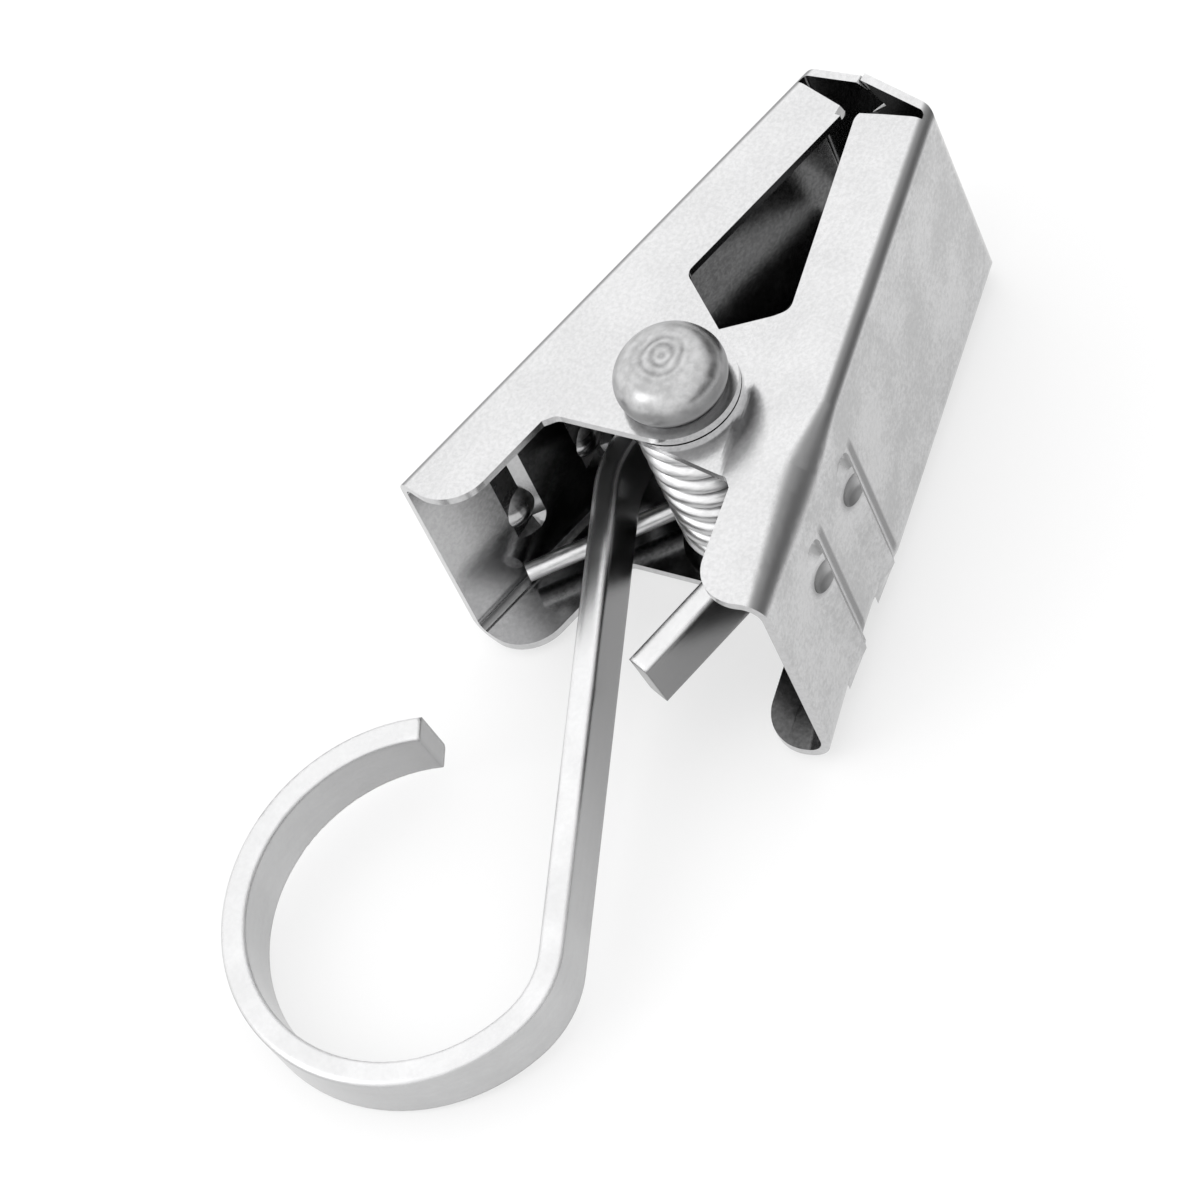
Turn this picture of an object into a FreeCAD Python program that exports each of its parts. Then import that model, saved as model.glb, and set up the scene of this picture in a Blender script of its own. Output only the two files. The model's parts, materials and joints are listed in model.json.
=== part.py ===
import FreeCAD, Part
import math
import os

from FreeCAD import Vector, Rotation, Placement

# Curtain clip with a swinging hanging hook, lying on its side.
# The part stands on the plane Z = 0 with the rivet upright and its domed head on top.
# The pinching tips point along +X, the hook trails along -X. All lengths are millimetres.

# Jaws: each is one stamped strip, folded to a channel
jaw_width = 13.4             # across the two cheeks, outside
sheet = 0.45                 # thickness of the strip steel
fold_radius = 1.0            # outside radius of the folds along the cheeks
drawn_fold_radius = 2.2      # the inner jaw's folds open up to this behind its drawn-in ears
drawn_fold_gap = 3.6         # widest place of those folds, behind the rivet axis
rear_fold_radius = 1.4       # of those folds at the jaw's rear end
tip_fold_radius = 0.8        # outside radius of the fold at the tip
pivot_from_tip = 17.7        # rivet axis, measured back along the back plate
rear_length = 11.8           # back plate from the rivet axis to its rear edge
pivot_depth = 8.2            # rivet axis, measured in from the back plate
rim_depth = 3.9              # depth of the cheeks where they are only a rim
ear_radius = 3.15            # rounded ear round the rivet
window_gap = 5.2             # ahead of the rivet axis, where the front rim turns towards the ear
heel_gap = 4.6               # behind the rivet axis, where the ear runs out into the rear rim
heel_rise = 0.4              # extra depth of the cheek at that corner
cheek_setback = 0.5          # slit between the cheek's front end and the tip plate
rim_slack = 0.21             # from the rims' front corners to the middle plane when the clip is shut
nose_radius = 0.8            # rounding of the cheek's front corner
tail_radius = 2.4            # rounding of the cheek's rear corner
soft_corner = 0.6            # rounding of the two corners beside the ear
joggle_start = 2.5           # depth at which the inner jaw's cheeks begin to lean inwards
joggle_run = 2.2             # depth over which they do
joggle_bend = 2.0            # middle radius of the two bends beside that slope
joggle_reach = 5.0           # ahead of and behind the rivet axis, the length that is drawn in fully
end_step = 0.1               # what is left of the step at the jaw's two ends
cheek_clearance = 0.06       # between the overlapping cheeks, each side

# Teeth on the tip plates
teeth = 5
tooth_height = 1.3
tooth_clearance = 0.12
tip_side_gap = 0.05          # tip plate is narrower than the jaw by this much each side
tip_lean = 9.0               # tip plates lean forward by this angle where they meet

# Finger ribs pressed outwards in the rear half of each back plate: a short steep flank towards the tip
# and a long gentle one behind
rib_gap = 0.45               # front foot of the first rib, behind the rivet axis
rib_pitch = 5.0
ribs = 2
rib_width = 2.85             # from the front foot to the rear foot
rib_steep = 0.9              # length of the steep flank
rib_height = 0.36
rib_start = 4.0              # from the middle of the width towards one fold
rib_end = 6.0                # and towards the other
rib_ramp = 0.8               # length over which each end fades
rib_root = 0.15              # how far the pressing tool's foot starts below the surface
dent_gap = 1.5               # round dent in each rib, behind the front foot
dent_offset = 1.85           # dent from the middle of the width
dent_radius = 1.1
dent_depth = 0.25            # below the back plate

# Semi-tubular rivet
rivet_diameter = 3.2
rivet_hole_clearance = 0.06
head_diameter = 5.7
head_height = 2.6
head_seat = 4.3              # diameter on which the head sits on the cheek
head_lift = 0.8              # lower edge of the head's rim above the cheek
head_rim = 0.3               # height of the rim
head_ledge = 0.12            # the rim stands out past the foot of the dome
crown_diameter = 2.2         # flattened top of the head
button_diameter = 1.3        # low button in its middle
button_height = 0.06
bore_diameter = 2.3
bore_depth = 6.0
roll_diameter = 4.3
roll_height = 0.65

# Torsion spring
wire = 1.0
coil_inside = 3.7
coil_gap = 0.12              # least gap between its turns
coil_end_play = 0.18         # between the coil's ends and the inner cheeks
leg_reach = 8.4              # how far behind the rivet each leg presses on its jaw
leg_clearance = 0.05

# Hook of flat strip
strip_thickness = 1.3
strip_width = 3.4
eye_inside = 8.4             # inside diameter of the loose eye round the spring
eye_lean_angle = 145.0       # which way the eye hangs off the spring, from the shank's own line
eye_seat_gap = 0.2           # between the eye and the spring where it hangs
shank_length = 24.8
tail_angle = 40.0            # the tail closes in on the shank by this angle
tail_length = 9.0
loop_inside = 16.9           # inside diameter of the hanging loop
knee_radius = 5.0            # middle line of the bend that joins the shank to the loop
knee_angle = 47.9            # how far that bend turns before the loop takes over
loop_end_angle = 3.0         # where the free end stops, from the line towards the clip
hook_swing = 23.0            # swing of the shank from the middle plane at rest
hook_level = 0.3             # upper edge of the strip at the rivet, above the middle of the width
edge_break = 0.25            # rounded edges of the strip

cutter_margin = 2.0          # how far cutting shapes run past the metal

# Derived sizes
jaw_length = pivot_from_tip + rear_length
# shut, each back plate leans away from the middle plane until the rims' front corners leave their slack
rim_corner = (pivot_from_tip - cheek_setback, pivot_depth - rim_depth)
half_spread = math.degrees(math.atan2(rim_corner[1], rim_corner[0])
                           - math.asin(rim_slack / math.hypot(*rim_corner)))
rivet_radius = rivet_diameter / 2
cheek_top = jaw_width / 2
cheek_bottom = -jaw_width / 2
ear_step = sheet + cheek_clearance
ear_room = jaw_width - 2 * (sheet + ear_step)
table = cheek_bottom - roll_height
axis_z = Vector(0, 0, 1)


def turn(angle, radius, centre=Vector(0, 0, 0)):
    """Point on a circle in the XY plane, angle in degrees."""
    a = math.radians(angle)
    return centre + Vector(radius * math.cos(a), radius * math.sin(a), 0)


def line(start, end):
    return {"kind": "line", "start": start, "end": end}


def arc(centre, radius, start_angle, end_angle):
    return {"kind": "arc", "centre": centre, "radius": radius, "from": start_angle, "to": end_angle}


def side_edge(piece, offset):
    """One edge of a ribbon: the path's piece moved to the left by offset. Gives edge, start, end."""
    if piece["kind"] == "line":
        along = (piece["end"] - piece["start"]).normalize()
        left = Vector(-along.y, along.x, 0) * offset
        start, end = piece["start"] + left, piece["end"] + left
        return Part.LineSegment(start, end).toShape(), start, end
    way = 1 if piece["to"] > piece["from"] else -1
    radius = piece["radius"] - way * offset
    middle = (piece["from"] + piece["to"]) / 2
    start, mid, end = [turn(a, radius, piece["centre"]) for a in (piece["from"], middle, piece["to"])]
    return Part.Arc(start, mid, end).toShape(), start, end


def ribbon(path, thickness):
    """Flat face that follows a smooth path of lines and arcs with the given thickness."""
    left = [side_edge(piece, thickness / 2) for piece in path]
    right = [side_edge(piece, -thickness / 2) for piece in path]
    caps = [Part.LineSegment(left[0][1], right[0][1]).toShape(),
            Part.LineSegment(left[-1][2], right[-1][2]).toShape()]
    edges = [entry[0] for entry in left + right] + caps
    return Part.Face(Part.Wire(Part.__sortEdges__(edges)))


def rounded_path(points, radii):
    """Lines through the points, with an arc of the given middle radius at each inner corner."""
    path, start = [], points[0]
    for before, corner, after, radius in zip(points, points[1:], points[2:], radii):
        into, out = (corner - before).normalize(), (after - corner).normalize()
        bend = into.getAngle(out)
        way = 1 if into.cross(out).z > 0 else -1
        reach = radius * math.tan(bend / 2)
        first, last = corner - into * reach, corner + out * reach
        centre = first + Vector(-into.y, into.x, 0) * way * radius
        begin = math.degrees(math.atan2(first.y - centre.y, first.x - centre.x))
        path += [line(start, first), arc(centre, radius, begin, begin + way * math.degrees(bend))]
        start = last
    return path + [line(start, points[-1])]


def jaw_point(from_tip, depth):
    """Point in a jaw's own plane: the rivet axis is the origin, X to the tip, Y out to the back plate."""
    return Vector(pivot_from_tip - from_tip, pivot_depth - depth, 0)


def tangent_point(point, radius, way):
    """Where the line from a point touches a circle round the origin."""
    away = math.degrees(math.atan2(point.y, point.x))
    half = math.degrees(math.acos(radius / point.Length))
    return turn(away + way * half, radius)


def prism(face, low, high):
    return face.translated(Vector(0, 0, low)).extrude(Vector(0, 0, high - low))


def round_corners(solid, corners):
    """Round the upright edges of a prism that stand at the given points."""
    for point, radius in corners:
        edges = [e for e in solid.Edges
                 if all(math.hypot(v.X - point.x, v.Y - point.y) < 0.01 for v in e.Vertexes)]
        solid = solid.makeFillet(radius, edges)
    return solid


def cheek_outline():
    """Side view of a jaw: front rim, window corner, ear, heel corner and rear rim."""
    nose = jaw_point(cheek_setback, rim_depth)
    front = jaw_point(pivot_from_tip - window_gap, rim_depth)
    heel = jaw_point(pivot_from_tip + heel_gap, rim_depth + heel_rise)
    rim_again = jaw_point(pivot_from_tip + heel_gap + 1.6 * heel_rise, rim_depth)
    rear = jaw_point(jaw_length, rim_depth)
    rise = tangent_point(front, ear_radius, -1)
    fall = tangent_point(heel, ear_radius, 1)
    outside = -cutter_margin
    corners = [jaw_point(jaw_length, outside), jaw_point(cheek_setback, outside), nose, front, rise]
    edges = [Part.LineSegment(a, b).toShape() for a, b in zip(corners, corners[1:])]
    edges.append(Part.Arc(rise, turn(-90, ear_radius), fall).toShape())
    corners = [fall, heel, rim_again, rear, jaw_point(jaw_length, outside)]
    edges += [Part.LineSegment(a, b).toShape() for a, b in zip(corners, corners[1:])]
    solid = prism(Part.Face(Part.Wire(edges)), cheek_bottom - cutter_margin, cheek_top + cutter_margin)
    return round_corners(solid, [(nose, nose_radius), (front, soft_corner), (heel, soft_corner),
                                 (rear, tail_radius)])


def channel_section(step, fold, from_tip):
    """Outline of the folded sheet across the jaw, with the given outside fold radius."""
    half = sheet / 2
    side = cheek_top - half
    back = pivot_depth - half
    reach = -ear_radius - cutter_margin
    upper = [Vector(reach, side - step, 0)]
    radii = []
    if step:
        upper += [Vector(pivot_depth - joggle_start - joggle_run, side - step, 0),
                  Vector(pivot_depth - joggle_start, side, 0)]
        radii += [joggle_bend, joggle_bend]
    upper.append(Vector(back, side, 0))
    lower = [Vector(p.x, -p.y, 0) for p in reversed(upper)]
    path = rounded_path(upper + lower, radii + [fold - half, fold - half] + radii)
    wire = ribbon(path, sheet).OuterWire
    wire.Placement = Placement(Vector(pivot_from_tip - from_tip, 0, 0), Rotation(Vector(1, 1, 1), 120))
    return wire


def channel(step):
    """Folded channel along the jaw. step moves the ears inwards, for the jaw that lies inside."""
    if not step:
        sections = [(jaw_length, fold_radius, 0), (tip_fold_radius, fold_radius, 0)]
    else:
        # drawing the ears in opens the folds behind them, and dies out towards the jaw's ends
        sections = [(jaw_length, rear_fold_radius, end_step),
                    (pivot_from_tip + joggle_reach, drawn_fold_radius, step),
                    (pivot_from_tip + drawn_fold_gap, drawn_fold_radius, step),
                    (pivot_from_tip, fold_radius, step),
                    (pivot_from_tip - joggle_reach, fold_radius, step),
                    (tip_fold_radius, fold_radius, end_step)]
    return Part.makeLoft([channel_section(draw, fold, place) for place, fold, draw in sections], True, True)


def tip_plate():
    """Front end of the back plate, folded down to the middle plane and leaning forward there."""
    half = sheet / 2
    spread, lean = math.radians(half_spread), math.radians(tip_lean)
    down = Vector(math.sin(spread + lean), -math.cos(spread + lean), 0)
    corner = jaw_point(half, half)
    to_middle = corner.y * math.cos(spread) - corner.x * math.sin(spread) + tooth_height
    end = corner + down * (to_middle / math.cos(lean))
    start = jaw_point(tip_fold_radius, half)
    path = rounded_path([start, corner, end], [tip_fold_radius - half])
    reach = jaw_width / 2 - tip_side_gap
    plate = prism(ribbon(path, sheet), -reach, reach)
    # its corners carry on the rounding of the two folds
    room = Part.makeBox(2 * pivot_depth, 2 * pivot_depth, jaw_width,
                        Vector(pivot_from_tip - pivot_depth, -pivot_depth, cheek_bottom))
    corners = [e for e in room.Edges
               if e.BoundBox.YMin > pivot_depth - 0.01 and e.BoundBox.XLength > pivot_depth]
    return plate.common(room.makeFillet(fold_radius, corners))


def tooth_cutter(side):
    """Everything past the zigzag line between the tip plates, on one side of the middle plane."""
    pitch = jaw_width / teeth
    shift = side * tooth_clearance / 2
    points = []
    for i in range(2 * teeth + 3):
        level = tooth_height / 2 if i % 2 else -tooth_height / 2
        points.append(Vector(level + shift, (i - 1) * pitch / 2 - jaw_width / 2, 0))
    far = -side * (tooth_height + cutter_margin)
    points += [Vector(far, points[-1].y, 0), Vector(far, points[0].y, 0), points[0]]
    front = (pivot_from_tip + pivot_depth) * math.cos(math.radians(half_spread))
    solid = prism(Part.Face(Part.makePolygon(points)), front - pivot_depth, front + cutter_margin)
    solid.Placement = Placement(Vector(0, 0, 0), Rotation(Vector(1, 1, 1), 120))
    return solid


def rib_wedge(place, sink, dome_way):
    """Wedge under one rib, with fading ends. sink lowers it, for the hollow side."""
    surface = pivot_depth - sink
    levels = [(rib_start, -rib_root / 3), (rib_start - rib_ramp, rib_height),
              (rib_ramp - rib_end, rib_height), (-rib_end, -rib_root / 3)]
    wires = []
    for level, height in levels:
        profile = [(0, -rib_root), (rib_steep, height), (rib_width, -rib_root)]
        points = [Vector(pivot_from_tip - place - back, surface + up, dome_way * level) for back, up in profile]
        wires.append(Part.makePolygon(points + points[:1]))
    return Part.makeLoft(wires, True, True)


def press_ribs(jaw, dome_way):
    """Ribs pressed outwards, hollow inside, each with a round dent pressed inwards."""
    plate = Part.makeBox(jaw_length, sheet + 2 * dent_radius, jaw_width,
                         Vector(pivot_from_tip - jaw_length, pivot_depth - sheet - 2 * dent_radius, cheek_bottom))
    for i in range(ribs):
        place = pivot_from_tip + rib_gap + i * rib_pitch
        raised = rib_wedge(place, 0, dome_way)
        jaw = jaw.fuse(raised).cut(rib_wedge(place, sheet, dome_way))
        dent = jaw_point(place + dent_gap, dent_depth - dent_radius) + axis_z * dome_way * dent_offset
        bulge = Part.makeSphere(dent_radius + sheet, dent)
        jaw = jaw.fuse([bulge.common(plate), bulge.common(raised)])
        jaw = jaw.cut(Part.makeSphere(dent_radius, dent))
    return jaw


def jaw(side):
    """Side 1 is the outer jaw, side -1 the inner one whose ears lie between the other's."""
    step = 0 if side == 1 else ear_step
    solid = channel(step).common(cheek_outline())
    solid = solid.fuse(tip_plate())
    # both blanks come from one die, so the outer jaw's ribs start on the other side of the middle
    solid = press_ribs(solid, -side)
    hole = Part.makeCylinder(rivet_radius + rivet_hole_clearance, jaw_width + 2 * cutter_margin,
                             Vector(0, 0, cheek_bottom - cutter_margin), axis_z)
    solid = solid.cut(hole)
    if side == -1:
        solid = solid.mirror(Vector(0, 0, 0), Vector(0, 1, 0))
    solid.rotate(Vector(0, 0, 0), axis_z, -side * half_spread)
    return solid.cut(tooth_cutter(side))


def rivet():
    """Domed head, shank and a hollow end rolled over the outer cheek."""
    head_low = cheek_top
    roll_top = cheek_bottom
    head_radius = head_diameter / 2
    roll_radius = roll_diameter / 2
    bore_radius = bore_diameter / 2

    def at(radius, height):
        return Vector(radius, 0, height)

    rim_low = head_low + head_lift
    rim_top = rim_low + head_rim
    top = head_low + head_height
    crown = top - button_height
    crown_radius = crown_diameter / 2
    button_radius = button_diameter / 2
    # the dome stands square on the rim and comes up to the edge of the flattened crown
    dome_radius = head_radius - head_ledge
    rise, run = crown - button_height - rim_top, dome_radius - crown_radius
    bow = (rise ** 2 + run ** 2) / (2 * run)
    half_angle = math.asin(rise / bow) / 2
    dome_mid = at(dome_radius - bow + bow * math.cos(half_angle), rim_top + bow * math.sin(half_angle))
    roll_mid = (roll_radius + bore_radius) / 2
    roll_half = (roll_radius - bore_radius) / 2
    tip_of_drill = roll_top + bore_depth + bore_radius * math.tan(math.radians(30))
    edges = [
        Part.makeLine(at(0, top), at(button_radius, top)),
        Part.makeLine(at(button_radius, top), at(button_radius + button_height, crown)),
        Part.makeLine(at(button_radius + button_height, crown), at(crown_radius - button_height, crown)),
        Part.makeLine(at(crown_radius - button_height, crown), at(crown_radius, crown - button_height)),
        Part.Arc(at(crown_radius, crown - button_height), dome_mid, at(dome_radius, rim_top)).toShape(),
        Part.makeLine(at(dome_radius, rim_top), at(head_radius, rim_top)),
        Part.makeLine(at(head_radius, rim_top), at(head_radius, rim_low)),
        Part.makeLine(at(head_radius, rim_low), at(head_seat / 2, head_low)),
        Part.makeLine(at(head_seat / 2, head_low), at(rivet_radius, head_low)),
        Part.makeLine(at(rivet_radius, head_low), at(rivet_radius, roll_top)),
        Part.makeLine(at(rivet_radius, roll_top), at(roll_radius, roll_top)),
        Part.makeLine(at(roll_radius, roll_top), at(roll_radius, table + roll_half)),
        Part.Arc(at(roll_radius, table + roll_half), at(roll_mid, table),
                 at(bore_radius, table + roll_half)).toShape(),
        Part.makeLine(at(bore_radius, table + roll_half), at(bore_radius, roll_top + bore_depth)),
        Part.makeLine(at(bore_radius, roll_top + bore_depth), at(0, tip_of_drill)),
        Part.makeLine(at(0, tip_of_drill), at(0, top)),
    ]
    return Part.Face(Part.Wire(edges)).revolve(Vector(0, 0, 0), axis_z, 360)


def spring():
    """Close coil round the rivet with one straight leg to each jaw."""
    mean = (coil_inside + wire) / 2
    # the legs leave the coil square to its radius and press on the back plates behind the rivet
    rest = jaw_point(pivot_from_tip + leg_reach, sheet + wire / 2 + leg_clearance)
    touch = tangent_point(rest, mean, -1)
    begin = math.degrees(math.atan2(touch.y, touch.x)) - half_spread
    part_turn = 2 * begin / 360
    height = ear_room - wire - 2 * coil_end_play
    turns = math.floor(height / (wire + coil_gap) - part_turn) + part_turn
    helix = Part.makeHelix(height / turns, height, mean, 0, True)
    section = Part.Wire(Part.makeCircle(wire / 2, Vector(mean, 0, 0), Vector(0, 1, 0)))
    coil = Part.Wire(helix.Edges).makePipeShell([section], True, True)
    coil.rotate(Vector(0, 0, 0), axis_z, begin)
    coil.translate(Vector(0, 0, -height / 2))
    leg = Part.makeCylinder(wire / 2, (rest - touch).Length, touch, rest - touch)
    lower = leg.rotated(Vector(0, 0, 0), axis_z, -half_spread).translated(Vector(0, 0, -height / 2))
    upper = lower.mirror(Vector(0, 0, 0), Vector(0, 1, 0)).translated(Vector(0, 0, height))
    return coil.fuse([lower, upper])


def hook():
    """Flat strip bent the easy way: tail, loose eye, shank, knee and open hanging loop."""
    middle = Vector(0, 0, 0)
    eye = (eye_inside + strip_thickness) / 2
    loop = (loop_inside + strip_thickness) / 2
    tail_start = turn(270 - tail_angle, eye)
    tail_way = turn(180 - tail_angle, 1)
    knee_centre = Vector(-shank_length, eye + knee_radius, 0)
    meet = 270 - knee_angle
    loop_centre = turn(meet, knee_radius - loop, knee_centre)
    path = [
        line(tail_start + tail_way * tail_length, tail_start),
        arc(middle, eye, -90 - tail_angle, 90),
        line(turn(90, eye), Vector(-shank_length, eye, 0)),
        arc(knee_centre, knee_radius, 270, meet),
        arc(loop_centre, loop, meet, loop_end_angle),
    ]
    solid = prism(ribbon(path, strip_thickness), -strip_width, 0)
    long_edges = [e for e in solid.Edges
                  if abs(e.BoundBox.ZLength) < 0.001 and e.Length > strip_thickness * 1.5]
    solid = solid.makeFillet(edge_break, long_edges)
    play = eye_inside / 2 - (coil_inside / 2 + wire) - eye_seat_gap
    solid.translate(turn(eye_lean_angle, play))
    solid.rotate(Vector(0, 0, 0), axis_z, hook_swing)
    # the loose eye lets the loop sink until its lower edge lies on the table
    reach = -solid.BoundBox.XMin
    droop = math.asin((hook_level - table) / math.hypot(reach, strip_width)) - math.atan2(strip_width, reach)
    solid.rotate(Vector(0, 0, 0), Vector(0, 1, 0), -math.degrees(droop))
    return solid.translated(Vector(0, 0, hook_level))


pieces = {
    "outer_jaw": jaw(1),
    "inner_jaw": jaw(-1),
    "rivet": rivet(),
    "spring": spring(),
    "hook": hook(),
}

# The origin is under the middle of the whole part, on the surface that it lies on
box = Part.makeCompound(list(pieces.values())).BoundBox
shift = Vector(-(box.XMin + box.XMax) / 2, -(box.YMin + box.YMax) / 2, -box.ZMin)

os.makedirs("parts", exist_ok=True)
for name, shape in pieces.items():
    shape.translate(shift)
    shape.exportStep("parts/" + name + ".step")
    print(name, "valid", shape.isValid(), "solids", len(shape.Solids), "volume", round(shape.Volume, 2))
print("rivet axis at", round(shift.x, 3), round(shift.y, 3), "mid height", round(shift.z, 3))
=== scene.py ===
import json
import math

import bpy
from bpy.props import FloatProperty, FloatVectorProperty, PointerProperty
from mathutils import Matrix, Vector


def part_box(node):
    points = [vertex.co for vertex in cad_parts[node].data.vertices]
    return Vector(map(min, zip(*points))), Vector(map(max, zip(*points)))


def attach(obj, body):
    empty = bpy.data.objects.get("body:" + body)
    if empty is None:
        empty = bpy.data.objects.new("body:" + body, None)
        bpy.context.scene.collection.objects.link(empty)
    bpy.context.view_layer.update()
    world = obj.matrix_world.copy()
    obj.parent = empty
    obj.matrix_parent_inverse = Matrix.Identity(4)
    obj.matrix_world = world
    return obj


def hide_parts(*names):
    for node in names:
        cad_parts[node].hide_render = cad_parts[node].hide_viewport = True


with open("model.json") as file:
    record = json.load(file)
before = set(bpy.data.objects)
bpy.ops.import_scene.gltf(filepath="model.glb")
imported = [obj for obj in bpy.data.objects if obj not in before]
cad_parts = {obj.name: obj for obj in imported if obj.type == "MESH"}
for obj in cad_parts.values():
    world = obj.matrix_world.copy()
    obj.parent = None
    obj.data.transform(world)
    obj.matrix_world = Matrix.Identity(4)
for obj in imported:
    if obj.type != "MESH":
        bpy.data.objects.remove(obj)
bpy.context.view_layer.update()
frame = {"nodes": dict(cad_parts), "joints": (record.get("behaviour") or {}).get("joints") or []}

bl_info = {
    "name": "Curtain Clip",
    "version": (1, 0, 0),
    "blender": (4, 5, 0),
    "location": "View3D > Sidebar > Curtain Clip",
    "description": "Builds a sprung curtain clip with its hanging hook, and the stage it is shown on",
    "category": "Object",
}

MM = 0.001

# The rivet's axis at the middle of the clip's width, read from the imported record, the angle between
# each jaw and the middle plane as the clip lies shut, and the direction of the rivet's head
PIVOT = Vector(next(j["pos_m"] for j in frame["joints"] if j["name"] == "jaw_pivot"))
HALF_SPREAD = math.radians(13.36)
UP = (0.0, 0.0, 1.0)

# The back plate's distance from the rivet's axis, and how deep the folds beside it reach
BACK_PLATE = 8.2 * MM
FOLD_DEPTH = 1.9 * MM

# The ribs pressed into each back plate: the first one's front foot lies just behind the rivet's axis,
# and a painted shade line follows each foot between its two ends. A dent lies behind the foot, off the
# middle of the width, and is painted darker as shade. Each pair of sizes is where a mark starts to fade and
# where it is gone.
RIBS = 2
RIB_FOOT = 0.45 * MM
RIB_PITCH = 5.0 * MM
RIB_LINE = (0.12 * MM, 0.38 * MM)
RIB_NEAR_END = (3.2 * MM, 4.2 * MM)
RIB_FAR_END = (-5.2 * MM, -6.0 * MM)
DENT_GAP = 1.5 * MM
DENT_OFFSET = 1.85 * MM
DENT_REACH = (0.5 * MM, 1.25 * MM)

# A point inside each jaw's channel, ahead of the rivet and out towards the back plate, how far a face
# has to look towards it to be an inner face, and how far behind the rivet the rear end lies that keeps the
# outside's colour instead of the painted shade inside
CHANNEL_AHEAD = 3.0 * MM
CHANNEL_OUT = 4.5 * MM
CHANNEL_INSIDE = (1.5 * MM, 2.5 * MM)
UNSHADED_REAR = (-11.0 * MM, -7.5 * MM)

# Share of the steel's brightness that is left where painted shade is full, which the faint soil clouds also
# darken towards, the scale of the fine sand on flat strip, and how tight the die's rings on the rivet's
# crown are, in radians a metre
SHADED_TONE = 0.35
SAND_SCALE = 4200.0
DIE_RINGS = 13000.0

# The crown of the rivet's head from its middle out: shares of its width, and whether each place is on
# the slight ring that the die left or in the hollows beside it. Then the share at which the dome
# starts, and how far the crown's oval is turned, in radians.
CROWN = ((0.0, False), (0.45, False), (0.62, True), (0.80, True), (0.92, False))
CROWN_EDGE = 0.98
OVAL_TURN = 0.6

# Steps round a turned piece, the angle at which its edges stay sharp, and the steps of the rivet's
# dome, the underside of its head, and the outer and inner rounding of its rolled end
TURNED_SIDES = 96
SHARP_ANGLE = math.radians(50)
DOME_STEPS, SEAT_STEPS, ROLL_STEPS, LIP_STEPS = 22, 10, 8, 6

# Steps of a turn of the coil, of the spare arc and round the wire, and the share of the wire's
# thickness that the spare arc has, so that it hides in the coil
COIL_STEPS = 60
SPARE_STEPS = 12
WIRE_SIDES = 28
SPARE_WIRE = 0.99


class Socket:
    """A shader or geometry socket that takes part in Python sums: each operator adds a Math node."""

    def __init__(self, tree, link):
        self.tree = tree
        self.link = link

    def _math(self, operation, first, second=None):
        values = {0: first}
        if second is not None:
            values[1] = second
        return self.tree.node("Math", {"operation": operation}, values)

    def __add__(self, other):
        return self._math("ADD", self, other)

    def __radd__(self, other):
        return self._math("ADD", other, self)

    def __sub__(self, other):
        return self._math("SUBTRACT", self, other)

    def __rsub__(self, other):
        return self._math("SUBTRACT", other, self)

    def __mul__(self, other):
        return self._math("MULTIPLY", self, other)

    def __rmul__(self, other):
        return self._math("MULTIPLY", other, self)

    def __truediv__(self, other):
        return self._math("DIVIDE", self, other)

    def __rtruediv__(self, other):
        return self._math("DIVIDE", other, self)

    def smaller(self, other):
        return self._math("MINIMUM", self, other)

    def larger(self, other):
        return self._math("MAXIMUM", self, other)

    def sine(self):
        return self._math("SINE", self)

    def cosine(self):
        return self._math("COSINE", self)

    def size(self):
        return self._math("ABSOLUTE", self)

    def root(self):
        return self._math("SQRT", self)


class Nodes:
    """A node tree that is filled by one method for any node and by sums on its sockets."""

    SHARED = ("Math", "VectorMath", "CombineXYZ")

    def __init__(self, tree, prefix):
        self.tree = tree
        self.prefix = prefix

    def node(self, kind, settings=None, inputs=None, output=0):
        prefix = "ShaderNode" if kind in self.SHARED else self.prefix
        made = self.tree.nodes.new(prefix + kind)
        for name, value in (settings or {}).items():
            setattr(made, name, value)
        for name, value in (inputs or {}).items():
            socket = made.inputs[name]
            if isinstance(value, Socket):
                self.tree.links.new(value.link, socket)
            else:
                socket.default_value = value
        return Socket(self, made.outputs[output])

    def ramp(self, value, low, high, start=0.0, end=1.0):
        """The value brought smoothly from low..high to start..end, and held there outside."""
        return self.node("MapRange", {"interpolation_type": "SMOOTHSTEP"},
                         {"Value": value, "From Min": low, "From Max": high, "To Min": start, "To Max": end})

    def dot(self, first, second):
        """How long one vector is along the other."""
        return self.node("VectorMath", {"operation": "DOT_PRODUCT"}, {0: first, 1: second}, output="Value")


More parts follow.
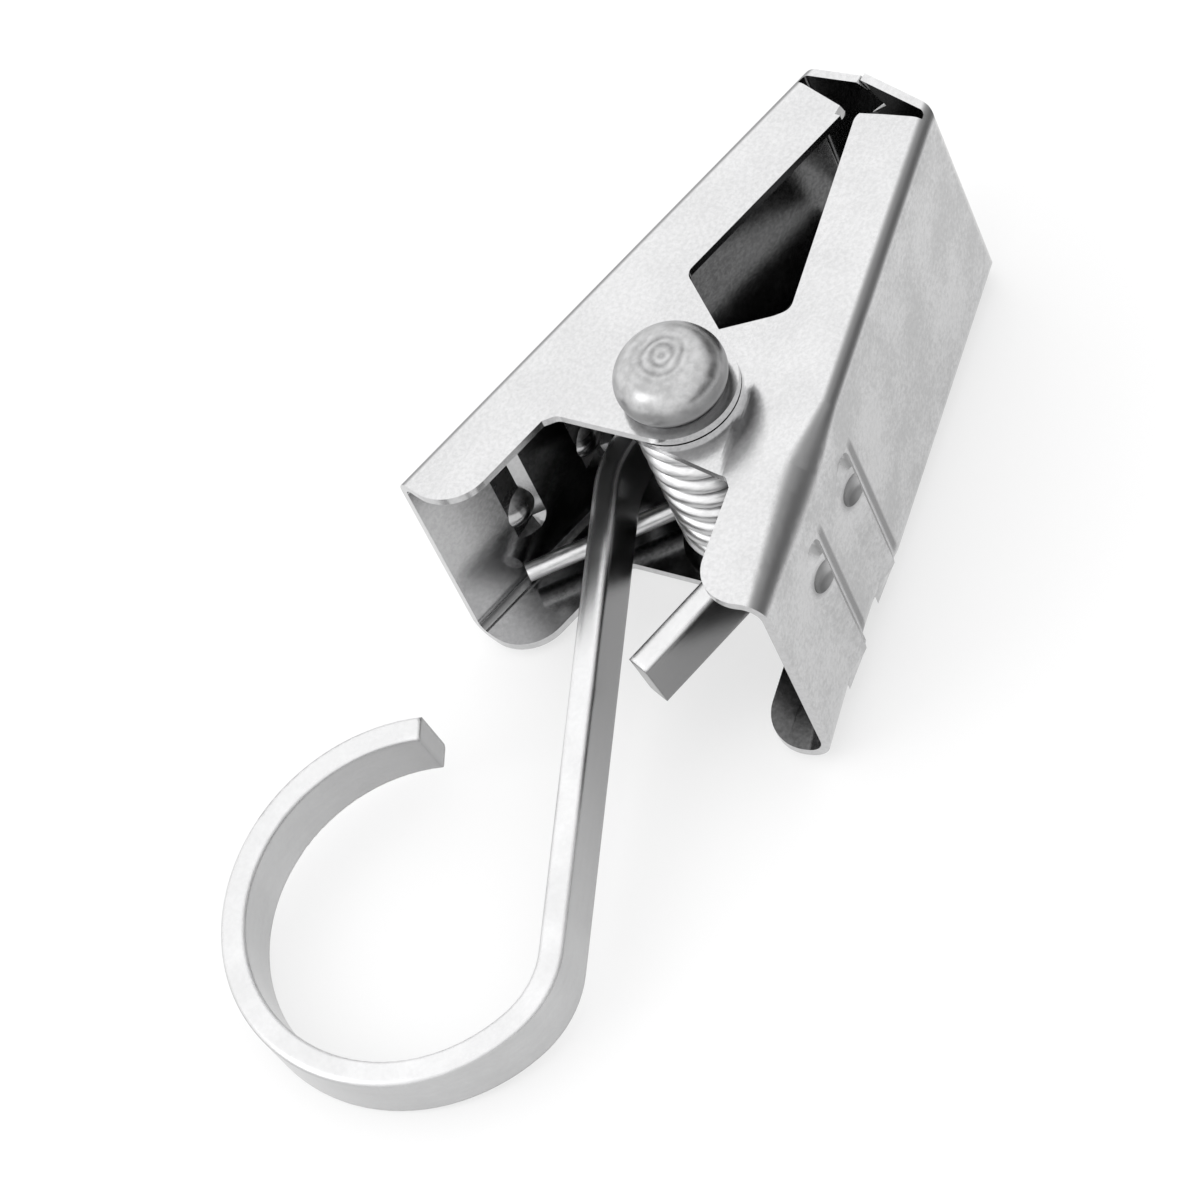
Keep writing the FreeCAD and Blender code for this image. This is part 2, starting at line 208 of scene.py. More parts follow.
class Shader(Nodes):
    """A material with its Principled shader and the usual patterns on Object coordinates."""

    def __init__(self, name, colour, roughness, metallic=1.0):
        old = bpy.data.materials.get(name)
        if old:
            bpy.data.materials.remove(old)
        self.material = bpy.data.materials.new(name)
        self.material.use_nodes = True
        super().__init__(self.material.node_tree, "ShaderNode")
        self.tree.nodes.clear()
        self.principled = self.tree.nodes.new("ShaderNodeBsdfPrincipled")
        output = self.tree.nodes.new("ShaderNodeOutputMaterial")
        self.tree.links.new(self.principled.outputs[0], output.inputs["Surface"])
        self.fix("Base Color", (*colour, 1.0))
        self.fix("Roughness", roughness)
        self.fix("Metallic", metallic)
        self.place = self.node("TexCoord", output="Object")
        self.normal = self.node("TexCoord", output="Normal")

    def fix(self, name, value):
        """Give one of the shader's sockets a value that is the same all over the surface."""
        self.principled.inputs[name].default_value = value

    def feed(self, name, value):
        """Give one of the shader's sockets what changes over the surface."""
        self.tree.links.new(value.link, self.principled.inputs[name])

    def stretched(self, scale, turn=0.0):
        """Object coordinates about the rivet, turned about its axis and scaled, for brushed patterns."""
        centred = self.node("Mapping", {"vector_type": "POINT"},
                            {"Vector": self.place, "Location": tuple(-PIVOT)})
        turned = self.node("Mapping", {"vector_type": "POINT"},
                           {"Vector": centred, "Rotation": (0.0, 0.0, turn)})
        return self.node("Mapping", {"vector_type": "POINT"}, {"Vector": turned, "Scale": scale})

    def noise(self, vector, scale, detail, rough):
        return self.node("TexNoise", {"noise_dimensions": "3D"},
                         {"Vector": vector, "Scale": scale, "Detail": detail, "Roughness": rough})

    def parts(self, vector):
        """The three numbers of a vector."""
        split = self.tree.nodes.new("ShaderNodeSeparateXYZ")
        self.tree.links.new(vector.link, split.inputs[0])
        return [Socket(self, split.outputs[i]) for i in range(3)]

    def tint(self, dark, light, factor):
        """A mix of two fixed colours by a factor."""
        return self.blend((*dark, 1.0), (*light, 1.0), factor)

    def blend(self, first, second, factor):
        """A mix of two colours or colour sockets by a factor."""
        return self.node("Mix", {"data_type": "RGBA"}, {0: factor, 6: first, 7: second}, output=2)

    def facing(self, centre):
        """How far the surface looks towards a point: the distance to it, measured along the normal."""
        way = self.node("VectorMath", {"operation": "SUBTRACT"}, {0: tuple(centre), 1: self.place})
        return self.dot(self.normal, way)

    def along(self, vector, way):
        """A vector's length along a fixed direction."""
        return self.dot(vector, tuple(way))

    def bent(self):
        """1 on a bend that is half turned from upright to level, 0 on upright and level faces."""
        level = self.along(self.normal, UP)
        return (1 - level * level).larger(0.0).root() * level.size() * 2

    def from_axis(self):
        """The distance from the rivet's axis."""
        x, y, _ = self.parts(self.stretched((1.0, 1.0, 1.0)))
        return (x * x + y * y).root()

    def bumps(self, height, strength, distance, rounding=0.0):
        """Fine relief, over edges that are softened by a rounding."""
        values = {"Height": height, "Strength": strength, "Distance": distance}
        if rounding:
            values["Normal"] = self.node("Bevel", {"samples": 6}, {"Radius": rounding})
        self.feed("Normal", self.node("Bump", {}, values))


class Geometry(Nodes):
    """A geometry tree with named inputs, which ends in one mesh with its material."""

    KINDS = {"Material": "NodeSocketMaterial", "Place": "NodeSocketVector", "Steps": "NodeSocketInt"}

    def __init__(self, name, inputs):
        super().__init__(bpy.data.node_groups.new(name, "GeometryNodeTree"), "GeometryNode")
        for label in inputs:
            kind = self.KINDS.get(label, "NodeSocketFloat")
            self.tree.interface.new_socket(name=label, in_out="INPUT", socket_type=kind)
        self.tree.interface.new_socket(name="Geometry", in_out="OUTPUT", socket_type="NodeSocketGeometry")
        group = self.tree.nodes.new("NodeGroupInput")
        self.inputs = {label: Socket(self, group.outputs[label]) for label in inputs}

    def end(self, geometry):
        real = self.node("RealizeInstances", {}, {"Geometry": geometry})
        painted = self.node("SetMaterial", {}, {"Geometry": real, "Material": self.inputs["Material"]})
        output = self.tree.nodes.new("NodeGroupOutput")
        self.tree.links.new(painted.link, output.inputs["Geometry"])

    def grow(self, name, values):
        """A plain mesh object made by the tree with the given inputs."""
        seed = bpy.data.objects.new(name + "_seed", bpy.data.meshes.new(name + "_seed"))
        bpy.context.scene.collection.objects.link(seed)
        modifier = seed.modifiers.new("tree", "NODES")
        modifier.node_group = self.tree
        for item in self.tree.interface.items_tree:
            if item.in_out == "INPUT":
                modifier[item.identifier] = values[item.name]
        shaped = seed.evaluated_get(bpy.context.evaluated_depsgraph_get())
        made = bpy.data.objects.new(name, bpy.data.meshes.new_from_object(shaped))
        bpy.context.scene.collection.objects.link(made)
        bpy.data.objects.remove(seed)
        if not made.data.vertices:
            raise RuntimeError("the tree made nothing for " + name)
        return made


def wound_wire():
    """Round wire that follows a helix about an upright axis and leaves it along a straight leg."""
    wire = Geometry("wound_wire", ("Place", "Radius", "Wire Radius", "Start", "Sweep", "Low", "High",
                                   "Leg", "Steps", "Material"))
    given = wire.inputs
    index = wire.node("InputIndex")
    turned = (index / given["Steps"]).smaller(1.0)
    angle = given["Start"] + given["Sweep"] * turned
    # past the last step of the helix there is one more point, at the leg's far end
    leg = (index - given["Steps"]).larger(0.0) * given["Leg"]
    way = given["Sweep"] / given["Sweep"].size()
    x = given["Radius"] * angle.cosine() - leg * way * angle.sine()
    y = given["Radius"] * angle.sine() + leg * way * angle.cosine()
    z = given["Low"] + (given["High"] - given["Low"]) * turned
    point = wire.node("CombineXYZ", {}, {"X": x, "Y": y, "Z": z})
    place = wire.node("VectorMath", {"operation": "ADD"}, {0: point, 1: given["Place"]})
    line = wire.node("MeshLine", {}, {"Count": given["Steps"] + 2})
    path = wire.node("SetPosition", {}, {"Geometry": line, "Position": place})
    curve = wire.node("MeshToCurve", {}, {"Mesh": path})
    section = wire.node("CurvePrimitiveCircle", {},
                        {"Resolution": WIRE_SIDES, "Radius": given["Wire Radius"]})
    tube = wire.node("CurveToMesh", {}, {"Curve": curve, "Profile Curve": section, "Fill Caps": True})
    wire.end(wire.node("SetShadeSmooth", {}, {"Geometry": tube}))
    return wire


def jaw_axes(turn):
    """A jaw's directions towards its tip and out towards its back plate, as the clip lies shut."""
    forward = Vector((math.cos(turn), -math.sin(turn), 0.0))
    out = Vector((math.sin(turn), math.cos(turn), 0.0)) * (1 if turn > 0 else -1)
    return forward, out


def channel_middle(turn):
    """A point inside a jaw's channel, which only the inner faces look towards."""
    forward, out = jaw_axes(turn)
    return PIVOT + forward * CHANNEL_AHEAD + out * CHANNEL_OUT


def rib_shade_marks(steel, depth, turn):
    """Painted shade on the back plate: a dark line along each rib's front foot, and a darkening in each
    dent.
    """
    flat = steel.along(steel.normal, jaw_axes(turn)[1])
    # the ribs of the two jaws start on opposite sides of the middle
    level = (steel.along(steel.place, UP) - PIVOT.z) * (-1 if turn > 0 else 1)
    near_end = steel.ramp(level, *RIB_NEAR_END, 1.0, 0.0)
    far_end = steel.ramp(level, RIB_FAR_END[1], RIB_FAR_END[0])
    lines, dents = 0.0, 0.0
    for rib in range(RIBS):
        foot = depth + RIB_FOOT + rib * RIB_PITCH
        lines = steel.ramp((foot - RIB_LINE[0]).size(), *RIB_LINE, 1.0, 0.0) + lines
        behind, beside = foot + DENT_GAP, level - DENT_OFFSET
        spread = (behind * behind + beside * beside).root()
        dents = steel.ramp(spread, *DENT_REACH, 1.0, 0.0) + dents
    # painted shade: the rib-foot lines and the dents are darkened
    lines = lines * steel.ramp(flat, 0.9, 0.97) * (far_end * near_end)
    return lines, dents * steel.ramp(flat, 0.3, 0.5)


def painted_jaw_shade(steel, cloud, sand, depth, turn):
    """How much painted shade darkens a jaw at its folds, rib flanks, rib-foot lines and dents, with the
    faint soil clouds on its back plates; in all, and in the folds and the dents alone.
    """
    forward, out = jaw_axes(turn)
    across = steel.along(steel.place, out) - out.dot(PIVOT)
    # painted shade: the fold beside the back plate is darkened, standing in for the dark room that it
    # reflects
    beside = steel.ramp(across, BACK_PLATE - FOLD_DEPTH - 0.5 * MM, BACK_PLATE - FOLD_DEPTH)
    fold = steel.ramp(steel.bent(), 0.55, 0.95) * beside
    lean = steel.along(steel.normal, forward)
    # painted shade: the rib flanks that lean towards the tip are darkened
    behind = steel.ramp(depth, -0.3 * MM, 0.0, 1.0, 0.0)
    flank = steel.ramp(lean, 0.10, 0.30) * steel.ramp(lean, 0.6, 0.8, 1.0, 0.0) * behind
    lines, dents = rib_shade_marks(steel, depth, turn)
    # the painted shade of the folds, flanks, rib-foot lines and dents taken together
    shade_and_soil = (fold * 0.95).larger(flank * 0.85).larger(lines * 0.90).larger(dents * 0.85)
    # the back plates are soiled in faint clouds
    plate = steel.ramp(steel.along(steel.normal, out), 0.9, 0.97)
    soiled = steel.ramp(cloud * 0.6 + sand * 0.4, 0.38, 0.60, 0.22, 0.0) * plate
    return shade_and_soil.larger(soiled), fold, dents


def sheet_steel(name, settings, turn, unshaded_rear_share, inside_shade_share):
    """Bright rolled strip, sandy and faintly clouded outside, with painted shade at the folds, rib flanks,
    rib feet and dents, and painted shade inside the channel.
    """
    steel = Shader(name, settings.jaw_colour, settings.jaw_roughness)
    grain = steel.noise(steel.stretched((1.0, 4.0, 4.0), turn), 700.0, 3.0, 0.6)
    sand = steel.noise(steel.place, SAND_SCALE, 2.0, 0.7)
    cloud = steel.noise(steel.place, 300.0, 3.0, 0.55)
    tone = steel.ramp(cloud, 0.35, 0.68) * 0.35 + steel.ramp(sand, 0.3, 0.7) * 0.65
    forward = jaw_axes(turn)[0]
    depth = steel.along(steel.place, forward) - forward.dot(PIVOT)
    shade_and_soil, fold, dents = painted_jaw_shade(steel, cloud, sand, depth, turn)
    bright = Vector(settings.jaw_colour)
    clear = steel.tint(bright * 0.84, bright, tone)
    # painted shade: folds, flanks, rib-foot lines and dents are darkened towards a fixed share of the steel,
    # and so, faintly, are the soil clouds
    outside = steel.blend(clear, (*(bright * SHADED_TONE), 1.0), shade_and_soil)
    # the inside is painted dark as shade, apart from the rear end of the channel, which keeps the outside's
    # colour where light reaches in
    unshaded = steel.ramp(depth, *UNSHADED_REAR, unshaded_rear_share, 0.0)
    shade = Vector(settings.inside_shade_colour) * inside_shade_share
    shaded_inside = steel.blend(steel.tint(shade * 0.5, shade, tone), outside, unshaded)
    inside = steel.ramp(steel.facing(channel_middle(turn)), *CHANNEL_INSIDE)
    steel.feed("Base Color", steel.blend(outside, shaded_inside, inside))
    smooth = settings.jaw_roughness + steel.ramp(cloud, 0.45, 0.7, 0.0, 0.05) + (sand - 0.5) * 0.06
    steel.feed("Roughness", smooth + shade_and_soil * 0.15 + fold * 0.12 + dents * 0.15)
    steel.bumps(grain * 0.3 + sand * 0.7, 0.12, 0.02 * MM)
    return steel.material


def headed_steel(name, settings):
    """Cold-headed and tumbled: rings left by the die about the axis, and soft tumbling dings."""
    steel = Shader(name, settings.rivet_colour, settings.rivet_roughness)
    radius = steel.from_axis()
    wobble = steel.noise(steel.place, 450.0, 2.0, 0.5)
    rings = ((radius + wobble * MM) * DIE_RINGS).sine() * 0.5 + 0.5
    near_crown = steel.ramp(radius, 0.8 * MM, 1.7 * MM, 1.0, 0.15)
    dings = steel.noise(steel.place, 1300.0, 4.0, 0.65)
    # the rim is painted darker than the dome, as painted shade on its steep sides
    dome = steel.ramp(steel.along(steel.normal, UP), 0.05, 0.45, 0.35, 1.0)
    tone = (steel.ramp(dings, 0.30, 0.70) * 0.45 + (1 - rings * near_crown) * 0.55) * dome
    bright = Vector(settings.rivet_colour)
    steel.feed("Base Color", steel.tint(bright * 0.40, bright, tone))
    steel.feed("Roughness", settings.rivet_roughness + steel.ramp(dings, 0.4, 0.75, 0.0, 0.10))
    steel.bumps(rings * near_crown * 0.6 + dings * 0.4, 0.40, 0.06 * MM)
    return steel.material


def drawn_wire(name, settings):
    """Plated spring wire, drawn smooth and finely mottled."""
    steel = Shader(name, settings.wire_colour, settings.wire_roughness)
    fine = steel.noise(steel.stretched((1.0, 1.0, 4.0)), 1800.0, 2.0, 0.6)
    bright = Vector(settings.wire_colour)
    steel.feed("Base Color", steel.tint(bright * 0.80, bright, steel.ramp(fine, 0.3, 0.7)))
    steel.feed("Roughness", settings.wire_roughness + steel.ramp(fine, 0.45, 0.8, 0.0, 0.08))
    steel.bumps(fine, 0.12, 0.02 * MM)
    return steel.material


def satin_strip(name, settings):
    """Flat strip, smooth and faintly clouded, with soft edges, and painted shade on the wide faces near the
    eye.
    """
    steel = Shader(name, settings.hook_colour, settings.hook_roughness)
    lines = steel.noise(steel.stretched((1.0, 1.0, 9.0)), 300.0, 3.0, 0.6)
    sand = steel.noise(steel.place, SAND_SCALE, 2.0, 0.6)
    cloud = steel.noise(steel.place, 230.0, 3.0, 0.55)
    fine = steel.ramp(lines, 0.3, 0.7) * 0.2 + steel.ramp(sand, 0.3, 0.7) * 0.2
    tone = steel.ramp(cloud, 0.35, 0.7) * 0.6 + fine
    # the narrow edges keep their colour, and the wide faces are painted darker as shade the nearer they are
    # to the eye
    wide = steel.ramp(steel.from_axis(), 10.0 * MM, 30.0 * MM, 0.20, 0.75)
    upright = steel.ramp(steel.along(steel.normal, UP).size(), 0.3, 0.8, 1.0, 0.0)
    unshaded = 1 - (1 - wide) * upright
    bright = Vector(settings.hook_colour)
    steel.feed("Base Color", steel.tint(bright * 0.25, bright, unshaded * (tone * 0.2 + 0.8)))
    smooth = settings.hook_roughness + steel.ramp(cloud, 0.4, 0.7, 0.0, 0.06)
    steel.feed("Roughness", smooth + steel.bent() * 0.08)
    steel.bumps(lines * 0.5 + sand * 0.5, 0.10, 0.02 * MM, rounding=0.45 * MM)
    return steel.material


def tone_property(name, description, value):
    return FloatVectorProperty(name=name, description=description, default=value, min=0.0, max=1.0,
                               subtype="COLOR", size=3)


def share_property(name, description, value):
    return FloatProperty(name=name, description=description, default=value, min=0.0, max=1.0,
                         subtype="FACTOR")


def length_property(name, description, value):
    return FloatProperty(name=name, description=description, default=value, unit="LENGTH", precision=5)


def angle_property(name, description, degrees):
    return FloatProperty(name=name, description=description, default=math.radians(degrees),
                         subtype="ANGLE")


class ClipMetalSettings(bpy.types.PropertyGroup):
    """Colours and finishes of the steels"""
    jaw_colour: tone_property("Jaw steel", "Colour of the strip that the jaws are folded from",
                              (0.60, 0.60, 0.604))
    jaw_roughness: share_property("Jaw roughness", "How satin the jaws are", 0.16)
    # painted shade: the darker colour given to the faces inside the channel, where shade falls
    inside_shade_colour: tone_property("Jaw inside", "Colour of the dull side inside the folds",
                                 (0.24, 0.24, 0.242))
    rivet_colour: tone_property("Rivet steel", "Colour of the headed rivet", (0.49, 0.49, 0.493))
    rivet_roughness: share_property("Rivet roughness", "How satin the rivet is", 0.30)
    wire_colour: tone_property("Spring wire", "Colour of the plated spring wire", (0.72, 0.72, 0.724))
    wire_roughness: share_property("Wire roughness", "How satin the spring is", 0.34)
    hook_colour: tone_property("Hook strip", "Colour of the flat strip of the hook", (0.68, 0.68, 0.684))
    hook_roughness: share_property("Hook roughness", "How satin the hook is", 0.20)


class ClipSpringSettings(bpy.types.PropertyGroup):
    """Sizes of the torsion spring"""
    wire: length_property("Wire", "Diameter of the spring wire", 1.0 * MM)
    inside: length_property("Coil inside", "Inside diameter of the coil", 3.7 * MM)
    pitch: length_property("Pitch", "Least height of one turn", 1.12 * MM)
    leg_reach: length_property("Leg reach", "How far behind the rivet a leg presses on its jaw", 8.4 * MM)
    leg_depth: length_property("Leg depth", "How far out from the rivet the leg lies there", 7.2 * MM)
    reserve: angle_property("Reserve", "Arc of the coil that the upper leg takes along", 40.0)


class ClipRivetSettings(bpy.types.PropertyGroup):
    """Sizes of the rivet"""
    head_width: length_property("Head width", "Widest diameter of the domed head", 5.7 * MM)
    head_height: length_property("Head height", "Top of the dome above the cheek", 2.6 * MM)
    rim_height: length_property("Rim height", "Widest place of the head above the cheek", 0.95 * MM)
    seat_width: length_property("Seat width", "Diameter on which the head sits on the cheek", 4.3 * MM)
    crown_width: length_property("Crown width", "Diameter of the flattened crown", 2.2 * MM)
    crown_dip: length_property("Crown dip", "Depth of the hollows beside the crown's ring", 0.05 * MM)
    crown_shift: length_property("Crown shift", "How far the crown sits off the axis", 0.10 * MM)
    crown_oval: share_property("Crown oval", "How far the crown is out of round", 0.035)
    crown_fade: length_property("Crown fade", "Depth over which that fades down the dome", 1.3 * MM)
    shank: length_property("Shank", "Diameter of the shank", 3.2 * MM)
    roll_width: length_property("Roll width", "Diameter of the rolled end", 4.3 * MM)
    roll_height: length_property("Roll height", "Height of the rolled end", 0.65 * MM)
    bore: length_property("Bore", "Diameter of the hollow end", 2.3 * MM)
    bore_depth: length_property("Bore depth", "Depth of the hollow from the other cheek", 6.0 * MM)
    drill_angle: angle_property("Drill angle", "Slope of the hollow's pointed end", 30.0)


class ClipStageSettings(bpy.types.PropertyGroup):
    """Floor, camera and light"""
    floor_size: length_property("Floor", "Side of the pale floor", 1.6)
    floor_colour: tone_property("Floor colour", "Colour of the floor", (0.30, 0.30, 0.30))
    floor_roughness: share_property("Floor roughness", "How matt the floor is", 0.75)
    floor_glow: share_property("Floor glow", "Light that the floor gives off, which softens the shadows",
                               0.60)
    camera_place: FloatVectorProperty(name="Camera", description="Where the camera stands", size=3,
                                      default=(-0.110515, -0.148621, 0.24480), subtype="TRANSLATION",
                                      unit="LENGTH")
    camera_turn: FloatVectorProperty(name="Camera turn", description="How the camera is turned", size=3,
                                     default=tuple(math.radians(a) for a in (34.601, 16.468, -58.721)),
                                     subtype="EULER")
    lens: FloatProperty(name="Lens", description="Focal length in mm, on the sensor's width",
                        default=186.0, min=10.0)
    sensor: FloatProperty(name="Sensor", description="Width of the sensor in mm", default=36.0, min=1.0)
    key_place: FloatVectorProperty(name="Key light", description="Where the soft light stands", size=3,
                                   default=(-0.50, 0.35, 0.45), subtype="TRANSLATION", unit="LENGTH")
    key_side: length_property("Key light's side", "Side of the square soft light", 0.35)
    key_power: FloatProperty(name="Key power", description="Power of the soft light, in watts",
                             default=0.8, min=0.0)
    sky_tone: FloatProperty(name="Overhead", description="Brightness of the white canopy over the stage",
                            default=1.5, min=0.0)
    sky_tilt: FloatProperty(name="Canopy tilt", description="How much lower the canopy hangs at one side",
                            default=0.35)
    sky_foot: FloatProperty(name="Canopy foot", description="Height at which the canopy starts to show",
                            default=-0.14)
    sky_full: FloatProperty(name="Canopy full", description="Height from which the canopy is fully white",
                            default=0.22)
    room_tone: share_property("Room", "Brightness of the dark room below the canopy", 0.08)
    wall_tone: share_property("Wall", "Brightness of the wall that the camera sees", 0.85)


def set_material(node, material):
    """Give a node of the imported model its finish."""
    slots = frame["nodes"][node].material_slots
    if not slots:
        raise RuntimeError("node " + node + " has no material slot")
    for slot in slots:
        slot.material = material


class CLIP_OT_jaws(bpy.types.Operator):
    """Finish the two folded jaws"""
    bl_idname = "clip.jaws"
    bl_label = "Jaws"

    def execute(self, context):
        metal = context.scene.clip_metal
        # the inner jaw's inside gets deeper painted shade and no lighter rear end
        set_material("outer_jaw", sheet_steel("outer_jaw_steel", metal, HALF_SPREAD,
                                              unshaded_rear_share=0.9, inside_shade_share=1.0))
        set_material("inner_jaw", sheet_steel("inner_jaw_steel", metal, -HALF_SPREAD,
                                              unshaded_rear_share=0.0, inside_shade_share=0.55))
        return {"FINISHED"}


def add_mesh(name, vertices, faces, material):
    mesh = bpy.data.meshes.new(name)
    mesh.from_pydata(vertices, [], faces)
    mesh.update()
    made = bpy.data.objects.new(name, mesh)
    bpy.context.scene.collection.objects.link(made)
    made.data.materials.append(material)
    return made


def arc_points(start, end, level, count):
    """Points of a quarter of an ellipse after start up to end; it leaves start level or upright."""
    points = []
    for i in range(1, count + 1):
        turn = math.pi / 2 * i / count
        slow, fast = 1 - math.cos(turn), math.sin(turn)
        wide, tall = (fast, slow) if level else (slow, fast)
        points.append((start[0] + (end[0] - start[0]) * wide, start[1] + (end[1] - start[1]) * tall))
    return points


def rivet_profile(rivet):
    """The rivet's half section from the crown to the end of the bore, as pairs of radius and height."""
    table, top = (corner[2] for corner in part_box("rivet"))
    cheek_top = top - rivet.head_height
    cheek_bottom = table + rivet.roll_height
    head, seat, crown = rivet.head_width / 2, rivet.seat_width / 2, rivet.crown_width / 2
    roll, bore = rivet.roll_width / 2, rivet.bore / 2
    rim = (head, cheek_top + rivet.rim_height)
    lip = (roll + bore) / 2
    low = top - rivet.crown_dip
    points = [(crown * share, top if raised else low) for share, raised in CROWN]
    points += arc_points((crown * CROWN_EDGE, low), rim, True, DOME_STEPS)
    points += arc_points(rim, (seat, cheek_top), False, SEAT_STEPS)
    points += [(rivet.shank / 2, cheek_top), (rivet.shank / 2, cheek_bottom), (roll, cheek_bottom)]
    points += arc_points((roll, cheek_bottom), (lip, table), False, ROLL_STEPS)
    points += arc_points((lip, table), (bore, table + lip - bore), True, LIP_STEPS)
    drilled = cheek_bottom + rivet.bore_depth
    points += [(bore, drilled), (0.0, drilled + bore * math.tan(rivet.drill_angle))]
    return points


class CLIP_OT_rivet(bpy.types.Operator):
    """Turn the headed rivet, with a crown that the die left a little off the axis"""
    bl_idname = "clip.rivet"
    bl_label = "Rivet"

    def execute(self, context):
        rivet = context.scene.clip_rivet
        profile = rivet_profile(rivet)
        vertices, faces = [], []
        crown_level = profile[len(CROWN)][1]
        for radius, height in profile[1:-1]:
            # the crown's rings sit off the axis and out of round, which fades out down the dome
            share = max(0.0, min(1.0, 1 - (crown_level - height) / rivet.crown_fade))
            oval = rivet.crown_oval * share * min(1.0, radius / MM)
            for i in range(TURNED_SIDES):
                turn = math.tau * i / TURNED_SIDES
                reach = radius * (1 + oval * math.sin(2 * turn + OVAL_TURN))
                vertices.append((PIVOT.x + reach * math.cos(turn) - rivet.crown_shift * share,
                                 PIVOT.y + reach * math.sin(turn), height))
        end = len(vertices) - TURNED_SIDES
        for row in range(0, end, TURNED_SIDES):
            for i in range(TURNED_SIDES):
                after = (i + 1) % TURNED_SIDES
                below = row + TURNED_SIDES
                faces.append((row + i, below + i, below + after, row + after))
        first, last = len(vertices), len(vertices) + 1
        vertices += [(PIVOT.x - rivet.crown_shift, PIVOT.y, profile[0][1]),
                     (PIVOT.x, PIVOT.y, profile[-1][1])]
        for i in range(TURNED_SIDES):
            after = (i + 1) % TURNED_SIDES
            faces.append((first, i, after))
            faces.append((end + i, last, end + after))
        steel = headed_steel("rivet_steel", context.scene.clip_metal)
        piece = add_mesh("headed_rivet", vertices, faces, steel)
        piece.data.shade_smooth()
        piece.data.set_sharp_from_angle(angle=SHARP_ANGLE)
        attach(piece, "outer_jaw")
        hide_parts("rivet")
        return {"FINISHED"}


class CLIP_OT_spring(bpy.types.Operator):
    """Wind the torsion spring, with one leg on each jaw"""
    bl_idname = "clip.spring"
    bl_label = "Spring"

    def execute(self, context):
        spring = context.scene.clip_spring
        low, high = (corner[2] - PIVOT.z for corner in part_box("spring"))
        low, high = low + spring.wire / 2, high - spring.wire / 2
        mean = (spring.inside + spring.wire) / 2
        # where the leg's far end lies as seen from the rivet, and where it leaves the coil
        away = math.pi - math.atan2(spring.leg_depth, spring.leg_reach) - HALF_SPREAD
        distance = math.hypot(spring.leg_depth, spring.leg_reach)
        touch = away - math.acos(mean / distance)
        leg = math.sqrt(distance ** 2 - mean ** 2)
        # the coil ends on the other side of the middle plane, as far round as it starts
        part_turn = touch / math.pi
        turns = math.floor((high - low) / spring.pitch - part_turn) + part_turn
        wire = wound_wire()
        bright = drawn_wire("spring_wire", context.scene.clip_metal)
        common = {"Place": tuple(PIVOT), "Radius": mean, "Leg": leg, "Material": bright}
        coil = wire.grow("spring_coil", {
            **common, "Wire Radius": spring.wire / 2, "Start": -touch, "Sweep": turns * math.tau,
            "Low": high, "High": low, "Steps": round(turns * COIL_STEPS)})
        # the upper leg turns with the inner jaw and draws a spare arc out of the coil's last turn
        rise = (high - low) / turns * spring.reserve / math.tau
        upper = wire.grow("spring_upper_leg", {
            **common, "Wire Radius": spring.wire / 2 * SPARE_WIRE, "Start": spring.reserve - touch,
            "Sweep": -spring.reserve, "Low": high - rise, "High": high, "Steps": SPARE_STEPS})
        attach(coil, "outer_jaw")
        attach(upper, "inner_jaw")
        for piece in (coil, upper):
            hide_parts("spring")
        return {"FINISHED"}


class CLIP_OT_hook(bpy.types.Operator):
    """Finish the hanging hook"""
    bl_idname = "clip.hook"
    bl_label = "Hook"

    def execute(self, context):
        set_material("hook", satin_strip("hook_strip_steel", context.scene.clip_metal))
        return {"FINISHED"}


def add_soft_light(stage):
    """A square soft light that points at the clip."""
    light = bpy.data.lights.new("key_light", "AREA")
    light.size = stage.key_side
    light.energy = stage.key_power
    made = bpy.data.objects.new("key_light", light)
    bpy.context.scene.collection.objects.link(made)
    made.location = stage.key_place
    made.rotation_euler = (-Vector(stage.key_place)).to_track_quat("-Z", "Y").to_euler()


def studio(stage):
    """A room that is dark round the clip, under a white leaning canopy; the camera sees a pale wall."""
    world = bpy.data.worlds.new("studio")
    world.use_nodes = True
    room = Nodes(world.node_tree, "ShaderNode")
    room.tree.nodes.clear()
    way = room.node("TexCoord", output="Generated")
    height = room.dot(way, (-stage.sky_tilt, stage.sky_tilt, 1.0))
    canopy = room.ramp(height, stage.sky_foot, stage.sky_full, stage.room_tone, stage.sky_tone)
    seen = room.node("LightPath", output="Is Camera Ray")
    glow = room.node("Background", {}, {"Color": canopy * (1 - seen) + seen * stage.wall_tone})
    output = room.tree.nodes.new("ShaderNodeOutputWorld")
    room.tree.links.new(glow.link, output.inputs["Surface"])
    return world


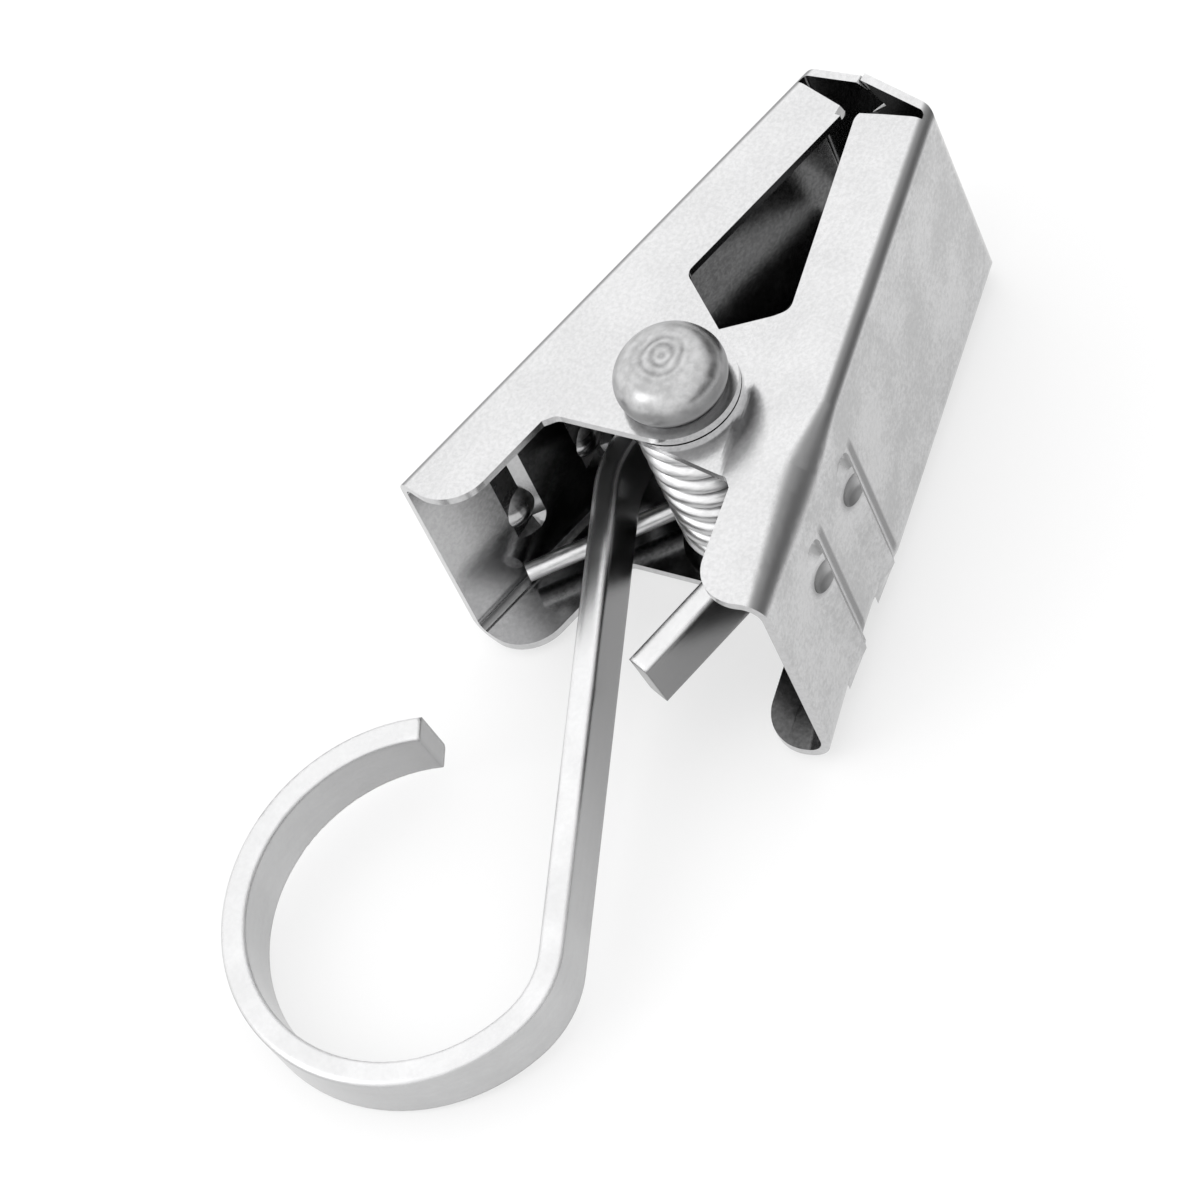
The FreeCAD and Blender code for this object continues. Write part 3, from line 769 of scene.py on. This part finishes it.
class CLIP_OT_stage(bpy.types.Operator):
    """Lay the floor and set the soft light and the camera"""
    bl_idname = "clip.stage"
    bl_label = "Stage"

    def execute(self, context):
        stage = context.scene.clip_stage
        paint = Shader("floor_paint", stage.floor_colour, stage.floor_roughness, metallic=0.0)
        paint.fix("Emission Color", (1.0, 1.0, 1.0, 1.0))
        paint.fix("Emission Strength", stage.floor_glow)
        half = stage.floor_size / 2
        corners = [(-half, -half, 0.0), (half, -half, 0.0), (half, half, 0.0), (-half, half, 0.0)]
        add_mesh("floor", corners, [(0, 1, 2, 3)], paint.material)
        add_soft_light(stage)
        context.scene.world = studio(stage)
        camera = bpy.data.cameras.new("camera")
        camera.sensor_width = stage.sensor
        camera.lens = stage.lens
        made = bpy.data.objects.new("camera", camera)
        made.location = stage.camera_place
        made.rotation_euler = stage.camera_turn
        context.scene.collection.objects.link(made)
        context.scene.camera = made
        context.scene.view_settings.view_transform = "Standard"
        return {"FINISHED"}


class CLIP_PT_panel(bpy.types.Panel):
    """Lists the clip's pieces and its stage"""
    bl_label = "Curtain Clip"
    bl_idname = "CLIP_PT_panel"
    bl_space_type = "VIEW_3D"
    bl_region_type = "UI"
    bl_category = "Curtain Clip"

    def draw(self, context):
        layout = self.layout
        for group_name, group in GROUPS.items():
            box = layout.box()
            for name in group.__annotations__:
                box.prop(getattr(context.scene, group_name), name)
        for operator in OPERATORS:
            layout.operator(operator.bl_idname)


OPERATORS = (CLIP_OT_stage, CLIP_OT_jaws, CLIP_OT_rivet, CLIP_OT_spring, CLIP_OT_hook)
GROUPS = {"clip_metal": ClipMetalSettings, "clip_spring": ClipSpringSettings,
          "clip_rivet": ClipRivetSettings, "clip_stage": ClipStageSettings}
CLASSES = tuple(GROUPS.values()) + OPERATORS + (CLIP_PT_panel,)


def register():
    for cls in CLASSES:
        bpy.utils.register_class(cls)
    for name, group in GROUPS.items():
        setattr(bpy.types.Scene, name, PointerProperty(type=group))


def unregister():
    for name in GROUPS:
        delattr(bpy.types.Scene, name)
    for cls in reversed(CLASSES):
        bpy.utils.unregister_class(cls)


def main():
    register()
    bpy.ops.clip.stage()
    bpy.ops.clip.jaws()
    bpy.ops.clip.rivet()
    bpy.ops.clip.spring()
    bpy.ops.clip.hook()


if __name__ == "__main__":
    main()
